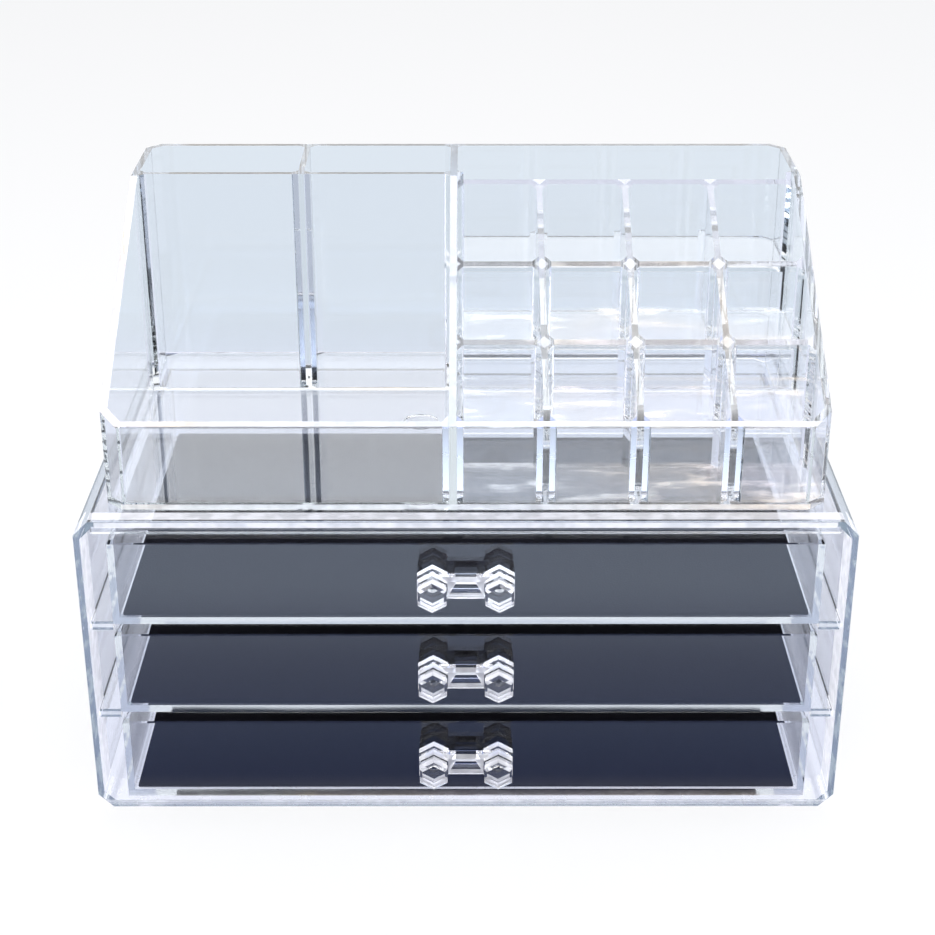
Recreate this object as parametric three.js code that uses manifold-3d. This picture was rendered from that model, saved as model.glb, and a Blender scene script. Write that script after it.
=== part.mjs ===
// Clear make-up organizer: a casing with three drawers and a compartment tray standing on top.
// Millimetres, +X right, +Y to the back, +Z up. The origin is the centre of the bounding box's base.
import * as THREE from "three";
import { mergeVertices } from "three/addons/utils/BufferGeometryUtils.js";
import Module from "manifold-3d";

const wasm = await Module();
wasm.setup();

// Clearances
const SEAT_GAP = 0.3; // between pieces that rest on each other
const SLIDE_GAP = 0.3; // between drawer fronts, and under a drawer
const PEG_CLEARANCE = 0.2; // around a handle's peg
const CUT = 5; // how far a cutter runs past the face it opens
const MERGE_DISTANCE = 1e-3; // vertices nearer than this are one
const SNAP_STEP = 1 / 4096; // faces that should lie in one plane are snapped to it

// Casing
const CASING_WIDTH = 240;
const CASING_DEPTH = 140;
const CASING_SIDE = 2.0;
const CASING_TOP = 2.4;
const CASING_BOTTOM = 2.6;
const CASING_BACK = 2.2;
const CASING_CORNER = 4.7; // flat chamfer along the four long edges
const FOOT_HEIGHT = 0.6;
const FOOT_DIAMETER = 6;
const FOOT_INSET_X = 13.5;
const FOOT_INSET_Y = 12;
const RAIL_REACH = 13.5; // how far a drawer rail stands in from the casing wall
const RAIL_THICKNESS = 3.0;
const RAIL_FRONT_CLEARANCE = 0.8; // behind the back of the drawer fronts
const RAIL_TIP_RECESS = 4.1; // beside the fronts a narrow strip of each rail runs on to here from the mouth
const RAIL_TIP_CLEARANCE = 0.5; // between that strip and the drawer
const MOUTH_LIP_DEPTH = 2.5; // lip that hangs from the top plate at the mouth

// Drawers
const DRAWER_NAMES = ["lower", "middle", "upper"];
const DRAWER_SIDE_CLEARANCE = 7.5; // between a drawer and the casing's side wall
const DRAWER_FRONT_HEIGHT = 32.1;
const DRAWER_FRONT_WALL = 2.2;
const DRAWER_SIDE = 2.0;
const DRAWER_FLOOR = 1.7;
const DRAWER_FRONT_RECESS = 2.0; // front face behind the casing's mouth
const DRAWER_BACK_CLEARANCE = 1.0;
const DRAWER_TOP_CLEARANCE = 0.9; // between a drawer's walls and the rail above it
const FRONT_FOLD_HEIGHT = 4.0; // the top of the front leans back
const FRONT_FOLD_DEPTH = 3.0;
const HEAD_ROOM = 2.0; // above the upper front, under the casing's top

// Drawer liners
const LINER_THICKNESS = 1.2;
const LINER_SIDE_CLEARANCE = 1.0;
const LINER_END_CLEARANCE = 0.5;

// Handles: two hexagonal knobs of three discs, joined by a bridge and pegged through the drawer front
const HANDLE_SPACING = 20.6;
const HANDLE_DROP = 0.25; // below the middle of the front
const KNOB_REACH = 12.7;
const KNOB_GROOVE = 1.7; // between one disc and the next
const KNOB_NECK_FLATS = 8.3;
const KNOB_BASE_FLATS = 9.5;
const KNOB_BASE_THICKNESS = 2.8;
const KNOB_MIDDLE_FLATS = 9.3;
const KNOB_MIDDLE_THICKNESS = 2.9;
const KNOB_HEAD_FLATS = 8.8;
const KNOB_CHAMFER = 0.8; // around the front of the head
const BRIDGE_HEIGHT = 7.6;
const BRIDGE_BACK_GAP = 2.0; // between the bridge and the drawer front
const BRIDGE_THICKNESS = 4.4;
const BRIDGE_CORNER = 1.1;
const WINDOW_HEIGHT = 3.8; // opening through the bridge, wider at the bottom
const WINDOW_TOP_WIDTH = 6.5;
const WINDOW_BOTTOM_WIDTH = 10.5;
const PEG_DIAMETER = 3.6;
const PEG_PROUD = 0.8; // how far a peg shows behind the drawer front

// Tray
const TRAY_SIDE_INSET = 9; // tray's sides in from the casing's sides
const TRAY_FRONT_INSET = 7.5;
const TRAY_BACK_INSET = 5.3;
const TRAY_HEIGHT = 79.4;
const TRAY_FRONT_HEIGHT = 27.6;
const TRAY_LEVEL_DEPTH = 38.3; // level part of the rim, measured from the back
const TRAY_WALL = 2.2;
const TRAY_FLOOR = 1.9;
const TRAY_FRONT_CORNER = 5.6;
const TRAY_BACK_CORNER = 4.8;
const INNER_CORNER = 2.0; // small chamfer up each inside corner of a pocket
const RISER_WALL_BACK = 36.2; // inner cross wall's front face, measured from the back of the tray
const RISER_WALL = 2.0;
const PARTITION_CENTRE = -3.96;
const PARTITION_WALL = 2.4;
const REAR_DIVIDER_CENTRE = -55;
const REAR_DIVIDER_WALL = 2.0;
const LATTICE_COLUMNS = 4;
const LATTICE_WALL = 2.0;
const LATTICE_ROW_DEPTHS = [26.4, 27.4]; // front row, then the middle row, wall to wall
const LATTICE_STEP = 14.75; // each row's floor stands this much higher than the one in front
const REAR_SLOT_STEP = 15.3;
const LATTICE_BACK_DROP = 2.5; // column tops run this much under the rim at the rear
const LATTICE_DROP_START = 8; // and leave it this far behind the front wall
const COLUMN_FLARE_WIDTH = 5.3;
const COLUMN_FLARE_LENGTH = 2.2;
const GATE_MARK_DIAMETER = 11.5;
const GATE_MARK_DEPTH = 0.8;
const GATE_MARK_FROM_PARTITION = 10;
const GATE_MARK_FROM_WALL = 27.7;

// Worked-out places
const handleProud = KNOB_REACH - DRAWER_FRONT_RECESS;
const casingInsideHalf = CASING_WIDTH / 2 - CASING_SIDE;
const casingFront = -(CASING_DEPTH - handleProud) / 2;
const casingBack = casingFront + CASING_DEPTH;
const casingBase = FOOT_HEIGHT;
const drawerHalf = casingInsideHalf - DRAWER_SIDE_CLEARANCE;
const drawerFront = casingFront + DRAWER_FRONT_RECESS;
const drawerInside = drawerFront + DRAWER_FRONT_WALL;
const railFront = drawerInside + FRONT_FOLD_DEPTH + RAIL_FRONT_CLEARANCE;
const railTip = casingFront + RAIL_TIP_RECESS;
const drawerBack = casingBack - CASING_BACK - DRAWER_BACK_CLEARANCE;
const drawerPitch = DRAWER_FRONT_HEIGHT + SLIDE_GAP;
const firstDrawerBase = casingBase + CASING_BOTTOM + SLIDE_GAP;
const casingHeight = CASING_BOTTOM + SLIDE_GAP + DRAWER_NAMES.length * drawerPitch + HEAD_ROOM + CASING_TOP;
const casingTop = casingBase + casingHeight;
const drawerWallHeight = drawerPitch - SLIDE_GAP - RAIL_THICKNESS - DRAWER_TOP_CLEARANCE;
const trayBase = casingTop + SEAT_GAP;
const trayFront = casingFront + TRAY_FRONT_INSET;
const trayBack = casingBack - TRAY_BACK_INSET;
const trayHalf = CASING_WIDTH / 2 - TRAY_SIDE_INSET;
const trayTop = trayBase + TRAY_HEIGHT;
const trayFrontTop = trayBase + TRAY_FRONT_HEIGHT;
const traySlopeEnd = trayBack - TRAY_LEVEL_DEPTH;
const trayFloor = trayBase + TRAY_FLOOR;
const riserFront = trayBack - RISER_WALL_BACK;

// Geometry helpers
function toSolid(geometry) {
  geometry.deleteAttribute("normal");
  geometry.deleteAttribute("uv");
  const merged = mergeVertices(geometry, MERGE_DISTANCE);
  const snapped = merged.attributes.position.array.map((v) => Math.round(v / SNAP_STEP) * SNAP_STEP);
  return new wasm.Manifold(new wasm.Mesh({
    numProp: 3,
    vertProperties: new Float32Array(snapped),
    triVerts: new Uint32Array(merged.index.array),
  }));
}

function toGeometry(solid) {
  const mesh = solid.getMesh();
  const geometry = new THREE.BufferGeometry();
  geometry.setAttribute("position", new THREE.BufferAttribute(mesh.vertProperties, 3));
  geometry.setIndex(new THREE.BufferAttribute(mesh.triVerts, 1));
  geometry.computeVertexNormals();
  return geometry;
}

function box(x0, x1, y0, y1, z0, z1) {
  const geometry = new THREE.BoxGeometry(x1 - x0, y1 - y0, z1 - z0);
  geometry.translate((x0 + x1) / 2, (y0 + y1) / 2, (z0 + z1) / 2);
  return toSolid(geometry);
}

// A polygon in plan, extruded upwards from z0 to z1
function planPrism(points, z0, z1) {
  const shape = new THREE.Shape(points.map(([x, y]) => new THREE.Vector2(x, y)));
  const geometry = new THREE.ExtrudeGeometry(shape, { depth: z1 - z0, bevelEnabled: false });
  geometry.translate(0, 0, z0);
  return toSolid(geometry);
}

// A polygon in the YZ plane, extruded along X from x0 to x1
function sidePrism(points, x0, x1) {
  const shape = new THREE.Shape(points.map(([y, z]) => new THREE.Vector2(y, z)));
  const geometry = new THREE.ExtrudeGeometry(shape, { depth: x1 - x0, bevelEnabled: false });
  geometry.rotateX(Math.PI / 2);
  geometry.rotateZ(Math.PI / 2);
  geometry.translate(x0, 0, 0);
  return toSolid(geometry);
}

// A polygon in the XZ plane, extruded backwards from y0 to y1
function frontPrism(points, y0, y1) {
  const shape = new THREE.Shape(points.map(([x, z]) => new THREE.Vector2(x, z)));
  const geometry = new THREE.ExtrudeGeometry(shape, { depth: y1 - y0, bevelEnabled: false });
  geometry.rotateX(Math.PI / 2);
  geometry.translate(0, y1, 0);
  return toSolid(geometry);
}

// A rectangle with its corners cut flat: front and rear corners can differ
function chamferedRectangle(x0, x1, y0, y1, lowCorner, highCorner) {
  return [
    [x0 + lowCorner, y0], [x1 - lowCorner, y0], [x1, y0 + lowCorner], [x1, y1 - highCorner],
    [x1 - highCorner, y1], [x0 + highCorner, y1], [x0, y1 - highCorner], [x0, y0 + lowCorner],
  ];
}

// A hexagonal disc along Y with an apex up, given its width across flats at the front and at the back
function hexagonDisc(x, z, frontFlats, backFlats, y0, y1) {
  const geometry = new THREE.CylinderGeometry(
    backFlats / Math.sqrt(3), frontFlats / Math.sqrt(3), y1 - y0, 6);
  geometry.translate(x, (y0 + y1) / 2, z);
  return toSolid(geometry);
}

// A round bar along Y
function bar(x, z, diameter, y0, y1) {
  const geometry = new THREE.CylinderGeometry(diameter / 2, diameter / 2, y1 - y0, 24);
  geometry.translate(x, (y0 + y1) / 2, z);
  return toSolid(geometry);
}

function joinAll(solids) {
  return solids.reduce((whole, solid) => whole.add(solid));
}

const group = new THREE.Group();

function addNode(name, solid, look) {
  const mesh = new THREE.Mesh(toGeometry(solid), new THREE.MeshStandardMaterial(look));
  mesh.name = name;
  group.add(mesh);
}

const clearLook = { color: 0xdfe4f2, roughness: 0.06, metalness: 0, transparent: true, opacity: 0.35 };
const linerLook = { color: 0x0c0c0f, roughness: 0.9, metalness: 0 };

// Casing: an octagonal sleeve open at the front, with a rail for each upper drawer on both sides
function drawerBase(index) {
  return firstDrawerBase + index * drawerPitch;
}

function casing() {
  const outer = chamferedRectangle(
    -CASING_WIDTH / 2, CASING_WIDTH / 2, casingBase, casingTop, CASING_CORNER, CASING_CORNER);
  const innerCorner = insideCorner(CASING_CORNER, CASING_SIDE);
  const inner = chamferedRectangle(
    -casingInsideHalf, casingInsideHalf, casingBase + CASING_BOTTOM, casingTop - CASING_TOP,
    innerCorner, innerCorner);
  const shell = frontPrism(outer, casingFront, casingBack)
    .subtract(frontPrism(inner, casingFront - CUT, casingBack - CASING_BACK));
  const lip = box(-casingInsideHalf + innerCorner, casingInsideHalf - innerCorner,
    casingFront, casingFront + MOUTH_LIP_DEPTH,
    casingTop - CASING_TOP - HEAD_ROOM + SLIDE_GAP, casingTop - CASING_TOP / 2);
  const rails = [];
  for (let index = 1; index < DRAWER_NAMES.length; index += 1) {
    const top = drawerBase(index) - SLIDE_GAP;
    for (const side of [-1, 1]) {
      const wallX = side * (casingInsideHalf + CASING_SIDE / 2);
      const edges = [[casingInsideHalf - RAIL_REACH, railFront], [drawerHalf + RAIL_TIP_CLEARANCE, railTip]];
      for (const [edge, front] of edges) {
        rails.push(box(Math.min(wallX, side * edge), Math.max(wallX, side * edge), front,
          casingBack - CASING_BACK / 2, top - RAIL_THICKNESS, top));
      }
    }
  }
  const footX = CASING_WIDTH / 2 - FOOT_INSET_X;
  const feet = [-footX, footX].flatMap((x) =>
    [casingFront + FOOT_INSET_Y, casingBack - FOOT_INSET_Y].map((y) => {
      const foot = new THREE.CylinderGeometry(
        FOOT_DIAMETER / 2, FOOT_DIAMETER / 2, casingBase + CASING_BOTTOM / 2, 24);
      foot.rotateX(Math.PI / 2);
      foot.translate(x, y, (casingBase + CASING_BOTTOM / 2) / 2);
      return toSolid(foot);
    }));
  return joinAll([shell, lip, ...rails, ...feet]);
}

// Drawer: a shallow open box whose front leans back along its top and upper corners
function drawerFrontPlate(base) {
  const top = base + DRAWER_FRONT_HEIGHT;
  const foldStart = top - FRONT_FOLD_HEIGHT;
  const profile = [
    [drawerFront, base], [drawerInside, base], [drawerInside, foldStart - DRAWER_FRONT_WALL / 3],
    [drawerInside + FRONT_FOLD_DEPTH, top], [drawerFront + FRONT_FOLD_DEPTH, top],
    [drawerFront, foldStart],
  ];
  const half = drawerHalf;
  const corners = frontPrism([
    [-half, base], [half, base], [half, foldStart], [half - FRONT_FOLD_DEPTH, top],
    [-half + FRONT_FOLD_DEPTH, top], [-half, foldStart],
  ], drawerFront - CUT, drawerInside + FRONT_FOLD_DEPTH + CUT);
  return sidePrism(profile, -half, half).intersect(corners);
}

function handlePegCentres() {
  return [-HANDLE_SPACING / 2, HANDLE_SPACING / 2];
}

function handleHeight(base) {
  return base + DRAWER_FRONT_HEIGHT / 2 - HANDLE_DROP;
}

function drawer(base) {
  const half = drawerHalf;
  const body = box(-half, half, drawerFront + DRAWER_FRONT_WALL / 2, drawerBack, base,
    base + drawerWallHeight);
  const inside = box(-half + DRAWER_SIDE, half - DRAWER_SIDE, drawerInside, drawerBack - DRAWER_SIDE,
    base + DRAWER_FLOOR, base + DRAWER_FRONT_HEIGHT + CUT);
  const holes = handlePegCentres().map((x) =>
    bar(x, handleHeight(base), PEG_DIAMETER + 2 * PEG_CLEARANCE, drawerFront - CUT, drawerInside + CUT));
  const shell = body.subtract(inside).add(drawerFrontPlate(base));
  return holes.reduce((whole, hole) => whole.subtract(hole), shell);
}

function liner(base) {
  const halfWidth = drawerHalf - DRAWER_SIDE - LINER_SIDE_CLEARANCE;
  const seat = base + DRAWER_FLOOR + SEAT_GAP;
  return box(-halfWidth, halfWidth, drawerInside + LINER_END_CLEARANCE,
    drawerBack - DRAWER_SIDE - LINER_END_CLEARANCE, seat, seat + LINER_THICKNESS);
}

// Handle: two stacked knobs with chamfered heads, and a bridge with a window between them
function handle(base) {
  const z = handleHeight(base);
  const back = drawerFront - SEAT_GAP;
  const tip = drawerFront - KNOB_REACH;
  const baseFront = back - KNOB_BASE_THICKNESS;
  const middleBack = baseFront - KNOB_GROOVE;
  const middleFront = middleBack - KNOB_MIDDLE_THICKNESS;
  const headBack = middleFront - KNOB_GROOVE;
  const chamferBack = tip + KNOB_CHAMFER;
  const knobs = handlePegCentres().map((x) => joinAll([
    hexagonDisc(x, z, KNOB_BASE_FLATS, KNOB_BASE_FLATS, baseFront, back),
    hexagonDisc(x, z, KNOB_MIDDLE_FLATS, KNOB_MIDDLE_FLATS, middleFront, middleBack),
    hexagonDisc(x, z, KNOB_HEAD_FLATS, KNOB_HEAD_FLATS, chamferBack, headBack),
    hexagonDisc(x, z, KNOB_HEAD_FLATS - 2 * KNOB_CHAMFER, KNOB_HEAD_FLATS, tip, chamferBack),
    hexagonDisc(x, z, KNOB_NECK_FLATS, KNOB_NECK_FLATS, chamferBack, back),
    bar(x, z, PEG_DIAMETER, back, drawerInside + PEG_PROUD),
  ]));
  const bridgeBack = drawerFront - BRIDGE_BACK_GAP;
  const bridge = sidePrism(chamferedRectangle(bridgeBack - BRIDGE_THICKNESS, bridgeBack,
    z - BRIDGE_HEIGHT / 2, z + BRIDGE_HEIGHT / 2, BRIDGE_CORNER, BRIDGE_CORNER),
  -HANDLE_SPACING / 2, HANDLE_SPACING / 2);
  const window = frontPrism([
    [-WINDOW_BOTTOM_WIDTH / 2, z - WINDOW_HEIGHT / 2], [WINDOW_BOTTOM_WIDTH / 2, z - WINDOW_HEIGHT / 2],
    [WINDOW_TOP_WIDTH / 2, z + WINDOW_HEIGHT / 2], [-WINDOW_TOP_WIDTH / 2, z + WINDOW_HEIGHT / 2],
  ], bridgeBack - BRIDGE_THICKNESS - CUT, drawerFront);
  return joinAll([...knobs, bridge.subtract(window)]);
}

// Tray: outer block under a sloping rim, with the compartments cut from above
function slopeHeight(y) {
  const rise = (trayTop - trayFrontTop) / (traySlopeEnd - trayFront);
  return Math.min(trayTop, trayFrontTop + rise * (y - trayFront));
}

function trayBlock() {
  const half = trayHalf;
  const plan = chamferedRectangle(-half, half, trayFront, trayBack, TRAY_FRONT_CORNER, TRAY_BACK_CORNER);
  const side = [
    [trayFront - CUT, trayBase], [trayBack + CUT, trayBase], [trayBack + CUT, trayTop],
    [traySlopeEnd, trayTop], [trayFront - CUT, slopeHeight(trayFront - CUT)],
  ];
  return planPrism(plan, trayBase - CUT, trayTop + CUT).intersect(sidePrism(side, -half - CUT, half + CUT));
}

// The chamfer inside a wall that follows a chamfered corner at one thickness
function insideCorner(corner, wall) {
  return corner - wall * (2 - Math.SQRT2);
}

function pocket(x0, x1, y0, y1, floor) {
  return planPrism(chamferedRectangle(x0, x1, y0, y1, INNER_CORNER, INNER_CORNER), floor, trayTop + CUT);
}

function tray() {
  const half = trayHalf - TRAY_WALL;
  const insideFront = trayFront + TRAY_WALL;
  const insideBack = trayBack - TRAY_WALL;
  const riserBack = riserFront + RISER_WALL;
  const leftEdge = PARTITION_CENTRE - PARTITION_WALL / 2;
  const rightEdge = PARTITION_CENTRE + PARTITION_WALL / 2;
  const cuts = [];

  // Left: one wide compartment, then two narrow ones behind the riser
  cuts.push(pocket(-half, leftEdge, insideFront, riserFront, trayFloor));
  cuts.push(pocket(-half, REAR_DIVIDER_CENTRE - REAR_DIVIDER_WALL / 2, riserBack, insideBack, trayFloor));
  cuts.push(pocket(REAR_DIVIDER_CENTRE + REAR_DIVIDER_WALL / 2, leftEdge,
    riserBack, insideBack, trayFloor));

  // Right: a slot behind the riser, and a lattice of cells on rising floors in front of it
  const rows = [];
  let rowFront = insideFront;
  for (const depth of LATTICE_ROW_DEPTHS) {
    rows.push({ front: rowFront, back: rowFront + depth });
    rowFront += depth + LATTICE_WALL;
  }
  rows.push({ front: rowFront, back: riserFront });
  rows.forEach((row, index) => { row.floor = trayFloor + index * LATTICE_STEP; });
  const slotFloor = rows.at(-1).floor + REAR_SLOT_STEP;
  cuts.push(pocket(rightEdge, half, riserBack, insideBack, slotFloor));
  const columnPitch = (half + TRAY_WALL / 2 - PARTITION_CENTRE) / LATTICE_COLUMNS;
  const columnWalls = [];
  for (let column = 1; column < LATTICE_COLUMNS; column += 1) {
    columnWalls.push(PARTITION_CENTRE + column * columnPitch);
  }
  const cellLefts = [rightEdge, ...columnWalls.map((x) => x + LATTICE_WALL / 2)];
  const cellRights = [...columnWalls.map((x) => x - LATTICE_WALL / 2), half];
  for (const row of rows) {
    cellLefts.forEach((left, column) => {
      cuts.push(pocket(left, cellRights[column], row.front, row.back, row.floor));
    });
  }

  // The lattice's own walls run a little under the sides' slope towards the back
  const dropStart = insideFront + LATTICE_DROP_START;
  const dropEnd = slopeHeight(riserFront) - LATTICE_BACK_DROP;
  const dropSlope = (dropEnd - slopeHeight(dropStart)) / (riserBack - dropStart);
  cuts.push(sidePrism([
    [insideFront, slopeHeight(dropStart) - dropSlope * LATTICE_DROP_START], [riserBack, dropEnd],
    [riserBack, trayTop + CUT], [insideFront, trayTop + CUT],
  ], rightEdge, half));

  // The stepped floors are hollow underneath, open at the base
  for (const row of rows.slice(1)) {
    cuts.push(box(rightEdge, half, row.front, row.back, trayBase - CUT, row.floor - TRAY_FLOOR));
  }
  cuts.push(box(rightEdge, half, riserBack, insideBack, trayBase - CUT, slotFloor - TRAY_FLOOR));

  // Round mark left on the wide compartment's floor by the moulding gate
  const mark = new THREE.CylinderGeometry(
    GATE_MARK_DIAMETER / 2, GATE_MARK_DIAMETER / 2, GATE_MARK_DEPTH * 2, 32);
  mark.rotateX(Math.PI / 2);
  mark.translate(leftEdge - GATE_MARK_FROM_PARTITION, riserFront - GATE_MARK_FROM_WALL, trayFloor);
  cuts.push(toSolid(mark));

  const cavity = planPrism(chamferedRectangle(-half, half, insideFront, insideBack,
    insideCorner(TRAY_FRONT_CORNER, TRAY_WALL), insideCorner(TRAY_BACK_CORNER, TRAY_WALL)),
  trayBase - 2 * CUT, trayTop + 2 * CUT);
  const shell = trayBlock().subtract(joinAll(cuts).intersect(cavity));

  // Small flares where each column wall meets the riser
  const flares = columnWalls.map((x) => planPrism([
    [x - LATTICE_WALL / 2, riserFront - COLUMN_FLARE_LENGTH],
    [x + LATTICE_WALL / 2, riserFront - COLUMN_FLARE_LENGTH],
    [x + COLUMN_FLARE_WIDTH / 2, riserFront + RISER_WALL / 2],
    [x - COLUMN_FLARE_WIDTH / 2, riserFront + RISER_WALL / 2],
  ], rows.at(-1).floor - TRAY_FLOOR / 2, dropEnd - LATTICE_BACK_DROP));
  return joinAll([shell, ...flares]);
}

addNode("base_casing", casing(), clearLook);
for (const [index, place] of DRAWER_NAMES.entries()) {
  const base = drawerBase(index);
  addNode(`drawer_${place}`, drawer(base), clearLook);
  addNode(`drawer_liner_${place}`, liner(base), linerLook);
  addNode(`drawer_handle_${place}`, handle(base), clearLook);
}
addNode("organizer_tray", tray(), clearLook);

export default group;
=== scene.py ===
# Clear make-up organizer in a white studio: drawers in a casing, with a compartment tray on top.
# Metres, +X right, +Y to the back, +Z up.
import math

import bpy
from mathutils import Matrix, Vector


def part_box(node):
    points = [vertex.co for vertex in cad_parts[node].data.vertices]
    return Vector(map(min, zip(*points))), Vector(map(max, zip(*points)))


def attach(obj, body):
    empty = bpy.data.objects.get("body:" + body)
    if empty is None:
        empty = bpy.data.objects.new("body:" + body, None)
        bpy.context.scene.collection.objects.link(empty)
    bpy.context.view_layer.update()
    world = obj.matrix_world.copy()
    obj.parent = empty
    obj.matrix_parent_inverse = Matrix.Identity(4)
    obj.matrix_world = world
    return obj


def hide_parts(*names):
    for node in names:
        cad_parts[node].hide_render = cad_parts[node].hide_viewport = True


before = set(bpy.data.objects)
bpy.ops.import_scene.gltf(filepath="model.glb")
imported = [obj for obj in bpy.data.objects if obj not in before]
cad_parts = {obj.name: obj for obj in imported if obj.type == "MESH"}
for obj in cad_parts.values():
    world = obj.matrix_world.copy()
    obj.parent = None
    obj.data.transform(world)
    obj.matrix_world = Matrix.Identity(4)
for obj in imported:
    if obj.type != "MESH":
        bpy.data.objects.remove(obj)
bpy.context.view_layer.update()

MM = 0.001
PLACES = ["lower", "middle", "upper"]

# The photograph's view, found from the object's straight edges; angles in degrees
IMAGE_PIXELS = 935
FOCAL_PIXELS = 1902.8
SENSOR_WIDTH = 36.0
CAMERA_SIDE = 0.04 * MM
CAMERA_FROM_MOUTH = 515.3 * MM
CAMERA_HEIGHT = 367.9 * MM
CAMERA_DOWN = 25.677
CAMERA_RIGHT = 0.051
OPTICAL_AXIS_BELOW_CENTRE = 10.0            # pixels
NEAREST_SEEN = 0.01

# Studio: colours along a line from behind the camera (0) to behind the object (1)
ROOM_COLOURS = [(0.0, (0.46, 0.49, 0.58, 1)), (0.40, (0.62, 0.66, 0.76, 1)),
                (0.60, (0.93, 0.95, 1.0, 1)), (1.0, (1.4, 1.4, 1.4, 1))]
DARK_ROOM_COLOUR = (0.02, 0.02, 0.03, 1)    # high up behind the camera
DARK_ROOM_SHARE = 0.98
DARK_ROOM_UPWARD = (0.15, 0.35)
DARK_ROOM_FORWARD = (-0.3, -0.5)
LAMP_TARGET = (0, 0, 0.1)
STRIP_SIZE = (0.25, 0.9)
STRIP_POWER = 4

# Floor: how much of its white is its own glow, so that the backdrop stays white
FLOOR_SIZE = 8
FLOOR_COLOUR = (0.82, 0.82, 0.83, 1)
FLOOR_GLOW = 0.72

# Painted reflection of the floor, as mirrors and clear plastic show it, from behind the object (0) to in
# front of it (1)
# Light under and behind the object, a painted dark band just in front of it, painted bright light past
# that, then grey
PAINTED_FLOOR_REFLECTION = [
    (0.30, (0.77, 0.84, 0.91, 1)), (0.42, (0.82, 0.85, 0.99, 1)), (0.533, (0.82, 0.85, 0.99, 1)),
    (0.537, (0.25, 0.31, 0.62, 1)), (0.55, (0.35, 0.44, 0.79, 1)), (0.578, (0.68, 0.78, 1.15, 1)),
    (0.605, (1.25, 1.45, 1.85, 1)), (0.63, (1.25, 1.45, 1.85, 1)), (0.68, (0.5, 0.55, 0.65, 1))]

# Light passes many faces of clear plastic before it ends
PATH_STEPS = 32
PATH_LIMITS = ["max_bounces", "transmission_bounces", "glossy_bounces", "transparent_max_bounces"]

# Cleaning of the solids' skins, and rounding of their moulded edges; angles in degrees
WELD_DISTANCE = 0.002 * MM
FLAT_ANGLE = 0.5
EDGE_RADIUS = 0.35 * MM
EDGE_STEPS = 2
EDGE_ANGLE = 25
SMOOTH_ANGLE = 50
FLAT_FACE_WEIGHT = 100
MAT_EDGE_RADIUS = 0.4 * MM
MAT_EDGE_STEPS = 3

# Noise patterns: scale, detail, roughness
FLOW_NOISE = (28.0, 1.5, 0.4)
FINE_NOISE = (900.0, 2.0, 0.6)
PATCH_NOISE = (160.0, 2.0, 0.5)
TINT_NOISE = (9.0, 1.0, 0.5)
STREAK_NOISE = (130.0, 3.0, 0.5)
NAP_NOISE = (1400.0, 3.0, 0.5)
FELT_NOISE = (22.0, 3.0, 0.5)

# Clear plastic: its surface, and the blue-grey that long paths inside it take on
PLASTIC_IOR = 1.5
CLEAR_TINT = (0.985, 0.99, 1.0, 1)
DEPTH_COLOUR = (0.17, 0.286, 0.395, 1)
TRAY_DEPTH_COLOUR = (0.17, 0.285, 0.34, 1)
FLOW_STRENGTH = 0.012
FLOW_HEIGHT = 2 * MM
FINE_ROUGHNESS = 0.012
# Painted dark reflections: the near-black a piece shows to first mirror rays
PAINTED_REFLECTION_BLACK = (0.004, 0.003, 0.01, 1)
FIRST_RAY_EDGE = (1.4, 0.2)                 # ray depth, and softness

# Painted glints, partly glowing, that stand in for highlights: cool white, here and there a warm or
# lavender tint, and patches that are a little brighter
PAINTED_GLINT_COLOURS = [(0.3, (0.88, 0.92, 0.98, 1)), (0.48, (0.95, 0.95, 0.95, 1)), (0.55, (1.0, 0.87, 0.72, 1)),
               (0.61, (0.96, 0.88, 0.94, 1)), (0.8, (0.88, 0.91, 0.98, 1))]
COOL_PAINTED_GLINTS = [(0.3, (0.9, 0.9, 0.97, 1)), (0.7, (0.97, 0.96, 0.98, 1))]
GLINT_GLOW = 0.25
GLINT_ROUGHNESS = 0.12
PATCH_ROUGHNESS = 0.2
GLINT_COVER = 0.8
PATCH_COVER = 0.3
PATCH_EDGE = (0.42, 0.2)                    # noise value, and softness
GLINT_DEPTH = 0.45 * MM
GLINT_SOFTNESS = 0.2 * MM

# Places on the tray, as its solid has them
TRAY_FRONT_HEIGHT = 27.6 * MM
TRAY_LEVEL_DEPTH = 38.3 * MM
TRAY_RISER_BACK = 34.2 * MM
TRAY_PARTITION = -3.0 * MM
TRAY_WALL = 2.2 * MM
TRAY_FLOOR = 1.9 * MM
PARTITION_WALL = 2.4 * MM
RISER_WALL = 2.0 * MM
LATTICE_START = -3.96 * MM
LATTICE_COLUMNS = 4
LATTICE_ROWS = [29.6 * MM, 59.0 * MM]
LATTICE_STEP = 14.75 * MM
LATTICE_LEVELS = 3
LATTICE_DROP = 2.5 * MM
LATTICE_DROP_START = 10.2 * MM

# The tray's glints, which are painted highlights
RIM_BRIGHTNESS = 0.62
RIM_DEPTH = 0.2 * MM
REAR_RIM_SHARE = 0.15
PARTITION_LOSS = 0.4
COLUMN_SHARE = 0.25
ROW_SHARE = 0.15
CROSSING_SHARE = 0.6
CROSSING_REACH = 3.0 * MM
CROSSING_EDGE = (1.15, 0.2)                 # sum of the nearnesses to a column and a row, and softness
CELL_FLOOR_SHARE = 0.16
STREAK_SHARE = 0.7
STREAK_EDGE = (0.53, 0.16)                  # noise value, and softness
STREAK_STRETCH = (0.35, 1.0, 1.0)
RISER_FOOT_WIDTH = 1.6 * MM
RISER_FOOT_BRIGHTNESS = 0.4
TRAY_EDGE_BRIGHTNESS = 0.6
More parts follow.
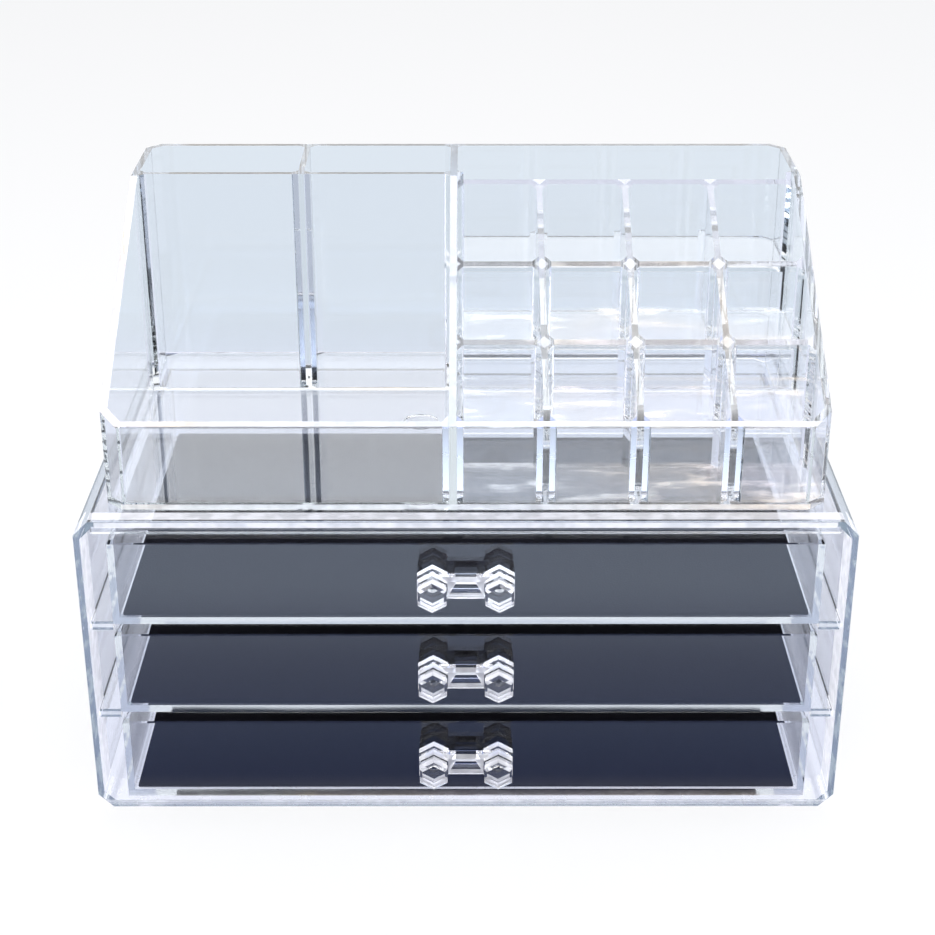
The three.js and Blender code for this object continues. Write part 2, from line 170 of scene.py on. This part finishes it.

# The casing's glints, which are painted highlights
LEDGE = (1.6 * MM, 6.4 * MM)                # back from the mouth, on top
LEDGE_BRIGHTNESS = 0.5
REAR_EDGE = 1.4 * MM
LINTEL = (2.1 * MM, 0.25 * MM)              # down from the top
LINTEL_END = 7.0 * MM
LINTEL_BRIGHTNESS = 0.7
FLOOR_EDGE = (1.3 * MM, 2.9 * MM)           # up from the feet
FLOOR_EDGE_BRIGHTNESS = 0.3
FLOOR_TOP_BRIGHTNESS = 0.28
MOUTH_GLOW_DEPTH = 12.0 * MM
INNER_WALL = (2.4 * MM, 1.5 * MM)           # in from the outside
INNER_WALL_BRIGHTNESS = 0.7
RAIL_TIP = 4.1 * MM
RAIL_GAP = 0.3 * MM
RAIL_HIGHLIGHT = (2.2 * MM, 0.9 * MM)           # down from the rail's top

# The drawers' glints, and the handles' ones, measured back from a handle's tip; all painted highlights
UNDERSIDE_DEPTH = 5.0 * MM
UNDERSIDE_BRIGHTNESS = 0.14
KNOB_DISCS = [(0.9 * MM, 3.2 * MM), (5.1 * MM, 7.8 * MM), (9.7 * MM, 12.0 * MM)]
KNOB_UNDERSIDE = 1.2 * MM                   # below the knob's middle
BRIDGE_HALF = 5.9 * MM
BRIDGE_FRONT = (5.8 * MM, 7.5 * MM)
HANDLE_BRIGHTNESS = 0.36

# The mats' felt
FELT_DARK = (0.0012, 0.0012, 0.0025, 1)
FELT_LIGHT = (0.0045, 0.0045, 0.008, 1)
FELT_ROUGHNESS = 0.75
NAP_ROUGHNESS = 0.2
NAP_STRENGTH = 0.5
NAP_HEIGHT = 0.3 * MM
FELT_SPECULAR = 0.03
FELT_SHEEN = 0.01
FELT_SHEEN_ROUGHNESS = 0.5


def deselect_all():
    if bpy.context.object and bpy.context.object.mode != "OBJECT":
        bpy.ops.object.mode_set(mode="OBJECT")
    bpy.ops.object.select_all(action="DESELECT")


def select_only(piece):
    deselect_all()
    piece.select_set(True)
    bpy.context.view_layer.objects.active = piece


class Value:
    """A shader socket that takes part in sums as a number does."""

    def __init__(self, shader, socket):
        self.shader = shader
        self.socket = socket

    def _maths(self, operation, first, second):
        return self.shader.node("ShaderNodeMath", {"operation": operation}, {0: first, 1: second})

    def __add__(self, other):
        return self._maths("ADD", self, other)

    def __radd__(self, other):
        return self._maths("ADD", other, self)

    def __sub__(self, other):
        return self._maths("SUBTRACT", self, other)

    def __rsub__(self, other):
        return self._maths("SUBTRACT", other, self)

    def __mul__(self, other):
        return self._maths("MULTIPLY", self, other)

    def __rmul__(self, other):
        return self._maths("MULTIPLY", other, self)


class Shader:
    """A node tree, built by one call for each node."""

    def __init__(self, owner):
        self.tree = owner.node_tree
        self.tree.nodes.clear()

    def node(self, kind, settings=None, inputs=None, output=0):
        made = self.tree.nodes.new(kind)
        for name, value in (settings or {}).items():
            setattr(made, name, value)
        for key, value in (inputs or {}).items():
            if isinstance(value, Value):
                self.tree.links.new(value.socket, made.inputs[key])
            else:
                made.inputs[key].default_value = value
        return Value(self, made.outputs[output]) if made.outputs else None

    def object_place(self):
        return self.node("ShaderNodeTexCoord", output="Object")

    def ray(self, kind):
        return self.node("ShaderNodeLightPath", output=kind)

    def split(self, place):
        parts = self.node("ShaderNodeSeparateXYZ", {}, {0: place}).socket.node
        return [Value(self, parts.outputs[axis]) for axis in "XYZ"]

    def noise(self, place, pattern):
        scale, detail, roughness = pattern
        return self.node("ShaderNodeTexNoise", {},
                         {"Vector": place, "Scale": scale, "Detail": detail, "Roughness": roughness})

    def ramp(self, value, stops):
        colour = self.node("ShaderNodeValToRGB", {}, {"Fac": value})
        elements = colour.socket.node.color_ramp.elements
        while len(elements) > 1:
            elements.remove(elements[-1])
        elements[0].position, elements[0].color = stops[0]
        for position, stop_colour in stops[1:]:
            elements.new(position).color = stop_colour
        return colour

    def rescale(self, value, zero_at, one_at):
        """0 to 1 between two values, and no further."""
        return self.node("ShaderNodeMapRange", {"clamp": True}, {"Value": value, 1: zero_at, 2: one_at})

    def above(self, value, threshold, softness=GLINT_SOFTNESS):
        """0 below the threshold, 1 once the value is past it by the softness."""
        return self.rescale(value, threshold, threshold + softness)

    def band(self, value, start, end):
        """1 between two values, 0 outside them."""
        return self.above(value, start) - self.above(value, end)

    def near_any(self, value, places, reach):
        """1 within a reach of any of the places."""
        total = 0.0
        for place in places:
            total = self.band(value, place - reach, place + reach) + total
        return total

    def tents(self, value, places, reach):
        """1 at each of the places, falling to 0 at the reach from it."""
        total = 0.0
        for place in places:
            total = self.rescale(self.absolute(value - place), reach, 0.0) + total
        return total

    def absolute(self, value):
        return self.node("ShaderNodeMath", {"operation": "ABSOLUTE"}, {0: value})

    def larger(self, first, second):
        return self.node("ShaderNodeMath", {"operation": "MAXIMUM"}, {0: first, 1: second})

    def smaller(self, first, second):
        return self.node("ShaderNodeMath", {"operation": "MINIMUM"}, {0: first, 1: second})

    def bump(self, height, strength, distance):
        return self.node("ShaderNodeBump", {},
                         {"Strength": strength, "Distance": distance, "Height": height})

    def blend(self, share, first, second):
        return self.node("ShaderNodeMixShader", {}, {0: share, 1: first, 2: second})

    def blend_colours(self, share, first, second):
        return self.node("ShaderNodeMix", {"data_type": "RGBA"}, {"Factor": share, "A": first, "B": second},
                         output="Result")

    def glow(self, colour):
        return self.node("ShaderNodeEmission", {}, {"Color": colour, "Strength": 1.0})


def new_material(name):
    material = bpy.data.materials.new(name)
    material.use_nodes = True
    return material, Shader(material)


def clear_plastic(name, haze, density, glints, glint_colours=PAINTED_GLINT_COLOURS, depth_colour=DEPTH_COLOUR,
                  dark_in_mirrors=False):
    """Clear moulded polystyrene: slow flow waves, a blue-grey depth of colour, and painted glints where
    parts look white-lit.
    """
    material, shader = new_material(name)
    place = shader.object_place()
    wave = shader.bump(shader.noise(place, FLOW_NOISE), FLOW_STRENGTH, FLOW_HEIGHT)
    fine = shader.noise(place, FINE_NOISE)
    surface = shader.node("ShaderNodeBsdfPrincipled", {}, {
        "Base Color": CLEAR_TINT, "Roughness": haze + fine * FINE_ROUGHNESS, "IOR": PLASTIC_IOR,
        "Transmission Weight": 1.0, "Normal": wave})

    # Painted highlights: a partly glowing white layer, mixed in where the piece's glint mask says
    patches = shader.noise(place, PATCH_NOISE)
    colours = shader.ramp(shader.noise(place, TINT_NOISE), glint_colours)
    glint = shader.node("ShaderNodeBsdfPrincipled", {}, {
        "Base Color": colours, "Roughness": GLINT_ROUGHNESS + patches * PATCH_ROUGHNESS,
        "IOR": PLASTIC_IOR, "Emission Color": colours, "Emission Strength": GLINT_GLOW})
    cover = GLINT_COVER + shader.above(patches, *PATCH_EDGE) * PATCH_COVER
    surface = shader.blend(glints(shader, place) * cover, surface, glint)

    # Painted reflection: first mirror rays see the piece as near-black, so its reflections in nearby faces
    # are dark
    if dark_in_mirrors:
        black = shader.node("ShaderNodeBsdfDiffuse", {}, {"Color": PAINTED_REFLECTION_BLACK})
        is_mirrored = shader.ray("Is Glossy Ray") * (1.0 - shader.ray("Is Transmission Ray"))
        is_first = 1.0 - shader.above(shader.ray("Ray Depth"), *FIRST_RAY_EDGE)
        surface = shader.blend(is_mirrored * is_first, surface, black)
    lamp_light = shader.node("ShaderNodeBsdfTransparent", {}, {"Color": CLEAR_TINT})
    surface = shader.blend(shader.ray("Is Shadow Ray"), surface, lamp_light)
    depth = shader.node("ShaderNodeVolumeAbsorption", {}, {"Color": depth_colour, "Density": density})
    shader.node("ShaderNodeOutputMaterial", {}, {"Surface": surface, "Volume": depth})
    return material


def tray_glints(shader, place):
    """Painted highlights on wall tops, the lattice's crossings, streaks on its floors, the riser's foot and
    the front edge.
    """
    low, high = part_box("organizer_tray")
    x, y, z = shader.split(place)
    riser_back = high[1] - TRAY_RISER_BACK
    is_right = shader.above(x, TRAY_PARTITION)

    # The outer rim rises from the front to a level part at the back
    front_top = low[2] + TRAY_FRONT_HEIGHT
    level_start = high[1] - TRAY_LEVEL_DEPTH
    rise = (high[2] - front_top) / (level_start - low[1])
    rim_top = shader.smaller((y - low[1]) * rise + front_top, high[2])
    is_level = shader.above(y, level_start)
    rim = shader.above(z - rim_top, -RIM_DEPTH, RIM_DEPTH / 2)
    behind_front = shader.above(y, low[1] + EDGE_RADIUS, EDGE_RADIUS)
    rim = rim * (1.0 - is_level * (1 - REAR_RIM_SHARE)) * behind_front
    partition_middle = TRAY_PARTITION - PARTITION_WALL / 2
    is_partition = shader.near_any(x, [partition_middle], PARTITION_WALL / 2 + GLINT_SOFTNESS)
    rim = rim * (1.0 - is_partition * PARTITION_LOSS)

    # The lattice's tops drop a little below the rim towards the back
    drop_start = low[1] + LATTICE_DROP_START
    drop_top = front_top + rise * LATTICE_DROP_START
    lattice_rise = (high[2] - LATTICE_DROP - drop_top) / (riser_back - drop_start)
    tops = shader.above(z - ((y - drop_start) * lattice_rise + drop_top), -GLINT_DEPTH)
    pitch = (high[0] - TRAY_WALL / 2 - LATTICE_START) / LATTICE_COLUMNS
    columns = [LATTICE_START + pitch * number for number in range(LATTICE_COLUMNS)]
    rows = [low[1] + depth for depth in LATTICE_ROWS] + [riser_back]
    nearness = shader.tents(x, columns, CROSSING_REACH) + shader.tents(y, rows, CROSSING_REACH)
    crossings = shader.above(nearness, *CROSSING_EDGE)
    before_riser = 1.0 - shader.above(y, riser_back - RISER_WALL - GLINT_DEPTH)
    along_columns = shader.near_any(x, columns, TRAY_WALL / 2) * COLUMN_SHARE
    lattice = tops * (crossings * CROSSING_SHARE + before_riser * (along_columns + ROW_SHARE))

    floors = [low[2] + TRAY_FLOOR + LATTICE_STEP * level for level in range(LATTICE_LEVELS)]
    # Painted highlight streaks on the cell floors
    stretched = shader.node("ShaderNodeVectorMath", {"operation": "MULTIPLY"},
                            {0: place, 1: STREAK_STRETCH})
    highlight_streaks = shader.above(shader.noise(stretched, STREAK_NOISE), *STREAK_EDGE) * STREAK_SHARE
    cell_floors = shader.near_any(z, floors, GLINT_DEPTH) * (highlight_streaks + CELL_FLOOR_SHARE)
    is_lattice = is_right * shader.band(y, low[1] + TRAY_WALL, riser_back)
    tops_and_floors = shader.larger(rim * (1.0 - is_lattice), (lattice + cell_floors) * is_lattice)

    foot_front = riser_back - RISER_WALL - RISER_FOOT_WIDTH
    foot = shader.near_any(z, floors[:1], GLINT_DEPTH) * (1.0 - is_right)
    foot = foot * shader.band(y, foot_front, foot_front + RISER_FOOT_WIDTH) * RISER_FOOT_BRIGHTNESS
    front_edge = 1.0 - shader.above(y, low[1] + GLINT_DEPTH)
    front_edge = front_edge * shader.band(z, low[2] + GLINT_SOFTNESS, low[2] + TRAY_FLOOR)
    return tops_and_floors * RIM_BRIGHTNESS + front_edge * TRAY_EDGE_BRIGHTNESS + foot


def casing_glints(shader, place):
    """Painted highlights on the top's front and rear edges, the mouth's top, floor and side walls, and the
    rails' tips.
    """
    low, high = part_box("base_casing")
    x, y, z = shader.split(place)
    sideways = shader.absolute(x)
    on_top = shader.above(z, high[2] - GLINT_DEPTH)
    at_mouth = 1.0 - shader.above(y, low[1] + GLINT_DEPTH)
    ledge = on_top * shader.band(y, low[1] + LEDGE[0], low[1] + LEDGE[1]) * LEDGE_BRIGHTNESS
    rear_edge = on_top * shader.above(y, high[1] - REAR_EDGE) * LEDGE_BRIGHTNESS
    lintel = at_mouth * shader.band(z, high[2] - LINTEL[0], high[2] - LINTEL[1]) * LINTEL_BRIGHTNESS
    lintel = lintel * (1.0 - shader.above(sideways, high[0] - LINTEL_END, GLINT_DEPTH))
    floor_edge = at_mouth * shader.band(z, low[2] + FLOOR_EDGE[0], low[2] + FLOOR_EDGE[1])
    floor_top = shader.near_any(z, [low[2] + FLOOR_EDGE[1]], GLINT_DEPTH)
    floor_top = floor_top * (1.0 - shader.above(y, low[1] + MOUTH_GLOW_DEPTH)) * FLOOR_TOP_BRIGHTNESS
    inner_wall = shader.band(sideways, high[0] - INNER_WALL[0], high[0] - INNER_WALL[1])
    inner_wall = inner_wall * shader.band(y, low[1] + GLINT_DEPTH, low[1] + MOUTH_GLOW_DEPTH)
    tips = 0.0
    for place_name in PLACES[1:]:
        rail_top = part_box(f"drawer_{place_name}")[0][2] - RAIL_GAP
        tips = shader.band(z, rail_top - RAIL_HIGHLIGHT[0], rail_top - RAIL_HIGHLIGHT[1]) + tips
    tips = tips * shader.near_any(y, [low[1] + RAIL_TIP], GLINT_DEPTH) * LEDGE_BRIGHTNESS
    return (ledge + lintel + floor_edge * FLOOR_EDGE_BRIGHTNESS + tips
            + inner_wall * INNER_WALL_BRIGHTNESS + rear_edge + floor_top)


def drawer_glints(shader, place):
    """A painted highlight on the front of the lowest drawer's underside, in place of the white floor seen
    below.
    """
    low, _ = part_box("drawer_lower")
    _, y, z = shader.split(place)
    under = shader.near_any(z, [low[2]], GLINT_DEPTH)
    return under * (1.0 - shader.above(y, low[1] + UNDERSIDE_DEPTH, GLINT_DEPTH)) * UNDERSIDE_BRIGHTNESS


def handle_glints(shader, place):
    """Painted highlights on the three discs of each knob, all of a knob's underside, and the front of the
    bridge.
    """
    x, y, z = shader.split(place)
    underside = 0.0
    for place_name in PLACES:
        low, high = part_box(f"drawer_handle_{place_name}")
        middle = (low[2] + high[2]) / 2
        underside = shader.band(z, low[2] - GLINT_DEPTH, middle - KNOB_UNDERSIDE) + underside
    tip = low[1]
    discs = 0.0
    for start, end in KNOB_DISCS:
        discs = shader.band(y, tip + start, tip + end) + discs
    underside = underside * shader.band(y, tip + KNOB_DISCS[0][0], tip + KNOB_DISCS[-1][1])
    is_bridge = 1.0 - shader.above(shader.absolute(x), BRIDGE_HALF)
    bridge = shader.band(y, tip + BRIDGE_FRONT[0], tip + BRIDGE_FRONT[1]) * is_bridge
    return (shader.larger(discs, underside) * (1.0 - is_bridge) + bridge) * HANDLE_BRIGHTNESS


def liner_felt(name):
    """Black liner with a short dull nap."""
    material, shader = new_material(name)
    place = shader.object_place()
    nap = shader.noise(place, NAP_NOISE)
    tone = shader.blend_colours(shader.noise(place, FELT_NOISE), FELT_DARK, FELT_LIGHT)
    felt = shader.node("ShaderNodeBsdfPrincipled", {}, {
        "Base Color": tone, "Roughness": FELT_ROUGHNESS + nap * NAP_ROUGHNESS,
        "Normal": shader.bump(nap, NAP_STRENGTH, NAP_HEIGHT), "Specular IOR Level": FELT_SPECULAR,
        "Sheen Weight": FELT_SHEEN, "Sheen Roughness": FELT_SHEEN_ROUGHNESS})
    shader.node("ShaderNodeOutputMaterial", {}, {"Surface": felt})
    return material


def rounded_copy(node_name, piece_name, body, material):
    """A CAD node's shape as one clean skin with its moulded edges rounded."""
    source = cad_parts[node_name]
    piece = bpy.data.objects.new(piece_name, source.data.copy())
    bpy.context.collection.objects.link(piece)
    select_only(piece)
    bpy.ops.object.mode_set(mode="EDIT")
    bpy.ops.mesh.select_all(action="SELECT")
    bpy.ops.mesh.remove_doubles(threshold=WELD_DISTANCE)
    bpy.ops.mesh.dissolve_limited(angle_limit=math.radians(FLAT_ANGLE))
    bpy.ops.object.mode_set(mode="OBJECT")
    bevel = piece.modifiers.new("moulded_edges", "BEVEL")
    bevel.width = EDGE_RADIUS
    bevel.segments = EDGE_STEPS
    bevel.limit_method = "ANGLE"
    bevel.angle_limit = math.radians(EDGE_ANGLE)
    bevel.use_clamp_overlap = True
    bpy.ops.object.modifier_apply(modifier=bevel.name)
    bpy.ops.object.shade_smooth_by_angle(angle=math.radians(SMOOTH_ANGLE))
    flat_faces = piece.modifiers.new("flat_faces", "WEIGHTED_NORMAL")
    flat_faces.weight = FLAT_FACE_WEIGHT
    flat_faces.keep_sharp = True
    bpy.ops.object.modifier_apply(modifier=flat_faces.name)
    piece.data.materials.clear()
    piece.data.materials.append(material)
    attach(piece, body)
    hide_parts(node_name)


def make_liner(place, material):
    """The loose mat in a drawer, with softly rounded edges."""
    low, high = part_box(f"drawer_liner_{place}")
    size = [high[i] - low[i] for i in range(3)]
    centre = [(high[i] + low[i]) / 2 for i in range(3)]
    deselect_all()
    bpy.ops.mesh.primitive_cube_add(size=1, location=centre, scale=size)
    piece = bpy.context.object
    piece.name = f"drawer_mat_{place}"
    bpy.ops.object.transform_apply(location=True, rotation=True, scale=True)
    bevel = piece.modifiers.new("soft_edges", "BEVEL")
    bevel.width = MAT_EDGE_RADIUS
    bevel.segments = MAT_EDGE_STEPS
    bpy.ops.object.modifier_apply(modifier=bevel.name)
    piece.data.materials.append(material)
    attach(piece, f"{place}_drawer")
    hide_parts(f"drawer_liner_{place}")


def make_camera():
    camera_data = bpy.data.cameras.new("photo_camera")
    camera = bpy.data.objects.new("photo_camera", camera_data)
    bpy.context.collection.objects.link(camera)
    camera_data.sensor_width = SENSOR_WIDTH
    camera_data.sensor_fit = "HORIZONTAL"
    camera_data.lens = FOCAL_PIXELS / IMAGE_PIXELS * SENSOR_WIDTH
    camera_data.shift_y = OPTICAL_AXIS_BELOW_CENTRE / IMAGE_PIXELS
    camera_data.clip_start = NEAREST_SEEN
    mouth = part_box("base_casing")[0][1]
    camera.location = (CAMERA_SIDE, mouth - CAMERA_FROM_MOUTH, CAMERA_HEIGHT)
    camera.rotation_euler = (math.radians(90 - CAMERA_DOWN), 0, math.radians(-CAMERA_RIGHT))
    bpy.context.scene.camera = camera


def make_floor():
    """Pale floor that keeps the object's soft shadow, white to the camera; mirrors show a painted
    reflection with painted shade and light.
    """
    deselect_all()
    bpy.ops.mesh.primitive_plane_add(size=FLOOR_SIZE, location=(0, 0, 0))
    floor = bpy.context.object
    floor.name = "studio_floor"
    material, shader = new_material("white_floor")
    lit = shader.node("ShaderNodeBsdfDiffuse", {}, {"Color": FLOOR_COLOUR})
    shown = shader.blend(shader.ray("Is Camera Ray") * FLOOR_GLOW, lit, shader.glow((1, 1, 1, 1)))
    # Painted reflection: mirrors see a glowing ramp in place of the lit floor
    _, backward, _ = shader.split(shader.object_place())
    mirrored = shader.glow(shader.ramp(0.5 - backward * 0.5, PAINTED_FLOOR_REFLECTION))
    surface = shader.blend(shader.ray("Is Glossy Ray"), shown, mirrored)
    shader.node("ShaderNodeOutputMaterial", {}, {"Surface": surface})
    floor.data.materials.append(material)


def make_world():
    """White studio: brightest behind the object, cool grey behind the camera, and dark there high up."""
    world = bpy.data.worlds.new("studio")
    bpy.context.scene.world = world
    world.use_nodes = True
    shader = Shader(world)
    _, forward, upward = shader.split(shader.node("ShaderNodeTexCoord", output="Generated"))
    room = shader.ramp(forward * 0.5 + 0.5, ROOM_COLOURS)
    is_dark = shader.rescale(upward, *DARK_ROOM_UPWARD) * shader.rescale(forward, *DARK_ROOM_FORWARD)
    room = shader.blend_colours(is_dark * DARK_ROOM_SHARE, room, DARK_ROOM_COLOUR)
    colour = shader.blend_colours(shader.ray("Is Camera Ray"), room, (1, 1, 1, 1))
    light = shader.node("ShaderNodeBackground", {}, {"Color": colour, "Strength": 1.0})
    shader.node("ShaderNodeOutputWorld", {}, {"Surface": light})


def make_lamp(name, place, size, power):
    lamp_data = bpy.data.lights.new(name, "AREA")
    lamp_data.shape = "RECTANGLE"
    lamp_data.size, lamp_data.size_y = size
    lamp_data.energy = power
    lamp = bpy.data.objects.new(name, lamp_data)
    bpy.context.collection.objects.link(lamp)
    lamp.location = place
    lamp.rotation_euler = (Vector(LAMP_TARGET) - Vector(place)).to_track_quat("-Z", "Y").to_euler()


make_camera()
make_floor()
make_world()
make_lamp("overhead_softbox", place=(0, -0.1, 1.3), size=(1.0, 0.8), power=9)
make_lamp("left_strip", place=(-0.9, -0.5, 0.5), size=STRIP_SIZE, power=STRIP_POWER)
make_lamp("right_strip", place=(0.9, -0.5, 0.5), size=STRIP_SIZE, power=STRIP_POWER)

clear_casing = clear_plastic("clear_casing_plastic", haze=0.01, density=9.0, glints=casing_glints,
                             glint_colours=COOL_PAINTED_GLINTS)
clear_drawer = clear_plastic("clear_drawer_plastic", haze=0.015, density=3.5, glints=drawer_glints)
clear_handle = clear_plastic("clear_handle_plastic", haze=0.008, density=1.0, glints=handle_glints,
                             glint_colours=COOL_PAINTED_GLINTS, dark_in_mirrors=True)
clear_tray = clear_plastic("clear_tray_plastic", haze=0.01, density=5.4, glints=tray_glints,
                           depth_colour=TRAY_DEPTH_COLOUR)
black_liner = liner_felt("black_liner_felt")

rounded_copy("base_casing", "casing_shell", "casing", clear_casing)
for level in PLACES:
    rounded_copy(f"drawer_{level}", f"drawer_shell_{level}", f"{level}_drawer", clear_drawer)
    rounded_copy(f"drawer_handle_{level}", f"drawer_pull_{level}", f"{level}_drawer",
                 clear_handle)
    make_liner(level, black_liner)
rounded_copy("organizer_tray", "compartment_tray", "tray", clear_tray)

scene = bpy.context.scene
scene.view_settings.view_transform = "Standard"
for limit in PATH_LIMITS:
    setattr(scene.cycles, limit, PATH_STEPS)
